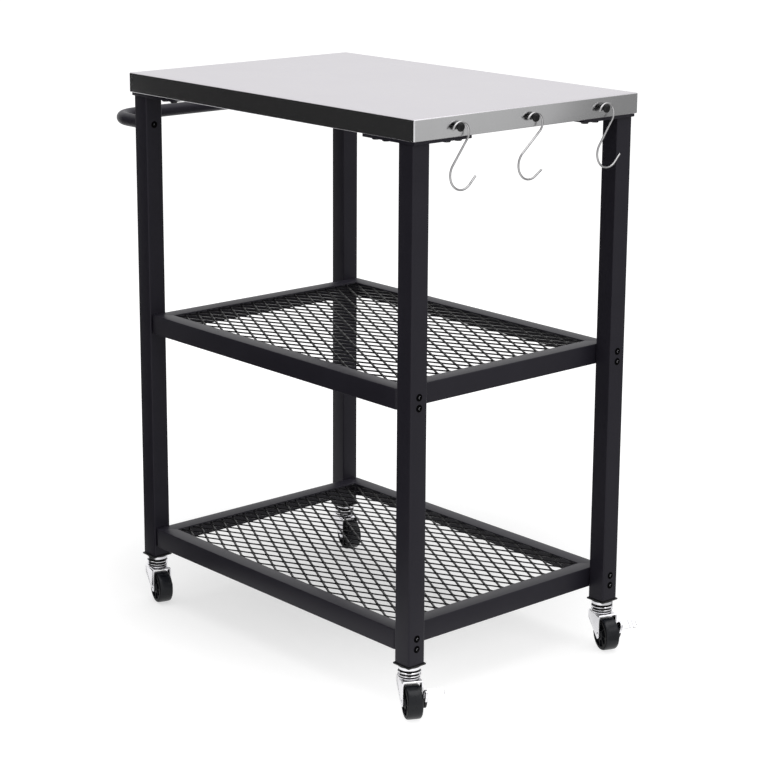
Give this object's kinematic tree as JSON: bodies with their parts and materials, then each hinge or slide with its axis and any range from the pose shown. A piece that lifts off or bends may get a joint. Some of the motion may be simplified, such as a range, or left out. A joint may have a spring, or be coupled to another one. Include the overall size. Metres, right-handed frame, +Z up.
{
  "type": "rolling grill cart",
  "caption": "Rolling grill cart with a folded steel top, square legs, framed net shelves, a push handle, hanging hooks and swivel casters with side brakes.",
  "frame": {"origin": "centre of the overall box, at the floor", "axes": "+X along the cart from the push handle to the hooks, +Y across it, +Z up"},
  "size_m": [0.7712, 0.4546, 0.85],
  "materials": {
    "stainless": "fine brushed",
    "black_steel": "satin black powder coat",
    "chrome": "bright plated",
    "black_plastic": "matte",
    "wheel_black": "moulded black, slightly worn"
  },
  "bodies": {
    "cart": {"caster_stem_back": "chrome", "caster_stem_front": "chrome", "caster_stem_left": "chrome", "caster_stem_right": "chrome", "handle_bolt_back": "black_steel", "handle_bolt_left": "black_steel", "hook_peg_1": "black_steel", "hook_peg_2": "black_steel", "hook_peg_3": "black_steel", "leg_plate_back": "black_steel", "leg_plate_front": "black_steel", "leg_plate_left": "black_steel", "leg_plate_right": "black_steel", "leg_plug_back": "black_plastic", "leg_plug_front": "black_plastic", "leg_plug_left": "black_plastic", "leg_plug_right": "black_plastic", "leg_tube_back": "black_steel", "leg_tube_front": "black_steel", "leg_tube_left": "black_steel", "leg_tube_right": "black_steel", "push_handle": "black_steel", "shelf_bolt_back_1": "black_steel", "shelf_bolt_back_2": "black_steel", "shelf_bolt_back_3": "black_steel", "shelf_bolt_back_4": "black_steel", "shelf_bolt_front_1": "black_steel", "shelf_bolt_front_2": "black_steel", "shelf_bolt_front_3": "black_steel", "shelf_bolt_front_4": "black_steel", "shelf_bolt_left_1": "black_steel", "shelf_bolt_left_2": "black_steel", "shelf_bolt_left_3": "black_steel", "shelf_bolt_left_4": "black_steel", "shelf_bolt_right_1": "black_steel", "shelf_bolt_right_2": "black_steel", "shelf_bolt_right_3": "black_steel", "shelf_bolt_right_4": "black_steel", "shelf_frame_low": "black_steel", "shelf_frame_mid": "black_steel", "shelf_net_low": "black_steel", "shelf_net_mid": "black_steel", "top_sheet": "stainless"},
    "fork_front": {"caster_fork_front": "chrome", "caster_axle_front": "chrome"},
    "wheel_front": {"caster_wheel_front": "wheel_black"},
    "fork_right": {"caster_fork_right": "chrome", "caster_axle_right": "chrome"},
    "wheel_right": {"caster_wheel_right": "wheel_black"},
    "fork_left": {"caster_fork_left": "chrome", "caster_axle_left": "chrome"},
    "wheel_left": {"caster_wheel_left": "wheel_black"},
    "fork_back": {"caster_fork_back": "chrome", "caster_axle_back": "chrome"},
    "wheel_back": {"caster_wheel_back": "wheel_black"},
    "brake_front": {"brake_lever_front": "chrome"},
    "brake_right": {"brake_lever_right": "chrome"},
    "s_hook_1": {"s_hook_1": "chrome"},
    "s_hook_2": {"s_hook_2": "chrome"},
    "s_hook_3": {"s_hook_3": "chrome"}
  },
  "joints": [
    {"name": "swivel_front", "type": "hinge", "parent": "cart", "child": "fork_front", "pos_m": [0.3339, -0.19967, 0.0627], "axis": [0, 0, 1], "continuous": true},
    {"name": "roll_front", "type": "hinge", "parent": "fork_front", "child": "wheel_front", "pos_m": [0.34972, -0.20826, 0.025], "axis": [0.4772, 0.8788, 0], "continuous": true},
    {"name": "swivel_right", "type": "hinge", "parent": "cart", "child": "fork_right", "pos_m": [0.3339, 0.19633, 0.0627], "axis": [0, 0, 1], "continuous": true},
    {"name": "roll_right", "type": "hinge", "parent": "fork_right", "child": "wheel_right", "pos_m": [0.3507, 0.18988, 0.025], "axis": [0.3584, 0.9336, 0], "continuous": true},
    {"name": "swivel_left", "type": "hinge", "parent": "cart", "child": "fork_left", "pos_m": [-0.2731, -0.19967, 0.0627], "axis": [0, 0, 1], "continuous": true},
    {"name": "roll_left", "type": "hinge", "parent": "fork_left", "child": "wheel_left", "pos_m": [-0.2558, -0.20463, 0.025], "axis": [0.2756, 0.9613, 0], "continuous": true},
    {"name": "swivel_back", "type": "hinge", "parent": "cart", "child": "fork_back", "pos_m": [-0.2731, 0.19633, 0.0627], "axis": [0, 0, 1], "continuous": true},
    {"name": "roll_back", "type": "hinge", "parent": "fork_back", "child": "wheel_back", "pos_m": [-0.25556, 0.19228, 0.025], "axis": [0.225, 0.9744, 0], "continuous": true},
    {"name": "brake_front", "type": "hinge", "parent": "fork_front", "child": "brake_front", "pos_m": [0.34972, -0.20826, 0.025], "axis": [0.4772, 0.8788, 0], "range_deg": [0, 25]},
    {"name": "brake_right", "type": "hinge", "parent": "fork_right", "child": "brake_right", "pos_m": [0.3507, 0.18988, 0.025], "axis": [0.3584, 0.9336, 0], "range_deg": [0, 25]},
    {"name": "hang_1", "type": "hinge", "parent": "cart", "child": "s_hook_1", "pos_m": [0.3619, -0.14367, 0.835], "axis": [1, 0, 0], "range_deg": [-45, 45]},
    {"name": "hang_2", "type": "hinge", "parent": "cart", "child": "s_hook_2", "pos_m": [0.3619, -0.00167, 0.835], "axis": [1, 0, 0], "range_deg": [-45, 45]},
    {"name": "hang_3", "type": "hinge", "parent": "cart", "child": "s_hook_3", "pos_m": [0.3619, 0.14033, 0.835], "axis": [1, 0, 0], "range_deg": [-45, 45]}
  ]
}
